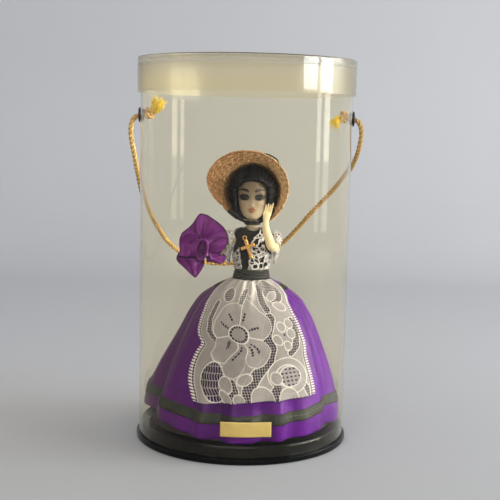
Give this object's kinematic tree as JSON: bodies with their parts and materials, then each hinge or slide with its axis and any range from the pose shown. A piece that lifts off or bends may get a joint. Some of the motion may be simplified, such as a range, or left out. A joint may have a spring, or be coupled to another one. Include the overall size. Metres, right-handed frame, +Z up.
{
  "type": "costume doll in display tube",
  "caption": "Miniature folk-costume doll with jointed arms and turning head, standing on a plug base inside a clear lidded display tube with a twisted carrying cord.",
  "frame": {"origin": "centre of the case's foot, on the surface it stands on", "axes": "+Z up along the tube, the doll looks along -Y, +X toward its left hand"},
  "size_m": [0.1236, 0.1164, 0.2],
  "materials": {
    "case_black": "semi-gloss black",
    "clear_sheet": "clear, yellowed plastic sheet",
    "lid_clear": "clear, yellowed plastic",
    "cord_gold": "twisted yarn",
    "tassel_yellow": "frayed yarn",
    "card": "plain card",
    "satin_purple": "satin",
    "ribbon_dark": "ribbon",
    "lace_white": "lace",
    "label_gold": "gold foil card",
    "skin_plastic": "satin moulded plastic",
    "velvet_black": "velvet",
    "hair_black": "glossy fibre",
    "straw": "braided straw",
    "gilt": "gilt metal",
    "petal_plum": "satin ribbon"
  },
  "bodies": {
    "stand": {"base_plug": "case_black", "skirt_cone": "card", "skirt": "satin_purple", "hem_band": "ribbon_dark", "apron": "lace_white", "apron_string": "ribbon_dark", "name_label": "label_gold", "torso": "skin_plastic", "waist_sash": "ribbon_dark", "bodice": "velvet_black", "left_lace": "lace_white", "right_lace": "lace_white", "cross_stitch": "ribbon_dark"},
    "head": {"head": "skin_plastic", "hair": "hair_black", "hat": "straw", "hat_ribbon": "ribbon_dark", "choker": "ribbon_dark", "right_tie": "ribbon_dark", "left_tie": "ribbon_dark"},
    "left_arm": {"left_arm": "skin_plastic", "left_sleeve": "lace_white"},
    "right_arm": {"right_arm": "skin_plastic", "right_sleeve": "lace_white", "petal_top": "petal_plum", "petal_left": "petal_plum", "petal_right": "petal_plum", "petal_tail": "petal_plum", "petal_low": "petal_plum", "flower_bud": "petal_plum", "flower_stem": "ribbon_dark"},
    "pendant": {"cross_pendant": "gilt"},
    "tube": {"display_tube": "clear_sheet", "left_eyelet": "case_black", "right_eyelet": "case_black"},
    "lid": {"lid": "lid_clear"},
    "cord": {"carry_cord": "cord_gold", "left_knot": "cord_gold", "right_knot": "cord_gold", "left_tassel": "tassel_yellow", "right_tassel": "tassel_yellow"}
  },
  "joints": [
    {"name": "head_turn", "type": "hinge", "parent": "stand", "child": "head", "pos_m": [0.0042, 0, 0.1132], "axis": [0, 0, 1], "range_deg": [-15, 15]},
    {"name": "left_arm_swing", "type": "hinge", "parent": "stand", "child": "left_arm", "pos_m": [0.0042, -0.0005, 0.1057], "axis": [1, 0, 0], "range_deg": [-10, 20]},
    {"name": "right_arm_swing", "type": "hinge", "parent": "stand", "child": "right_arm", "pos_m": [0.0042, -0.0005, 0.1057], "axis": [1, 0, 0], "range_deg": [-35, 10]},
    {"name": "cross_swing", "type": "hinge", "parent": "stand", "child": "pendant", "pos_m": [0.0003, -0.0111, 0.1085], "axis": [0, 1, 0], "range_deg": [-10, 35]},
    {"name": "tube_lift", "type": "slide", "parent": "stand", "child": "tube", "axis": [0, 0, 1], "range_m": [0, 0.16]},
    {"name": "lid_lift", "type": "slide", "parent": "tube", "child": "lid", "axis": [0, 0, 1], "range_m": [0, 0.025]},
    {"name": "cord_swing", "type": "hinge", "parent": "tube", "child": "cord", "pos_m": [0, 0, 0.1708], "axis": [1, 0, 0], "range_deg": [0, 95]}
  ]
}
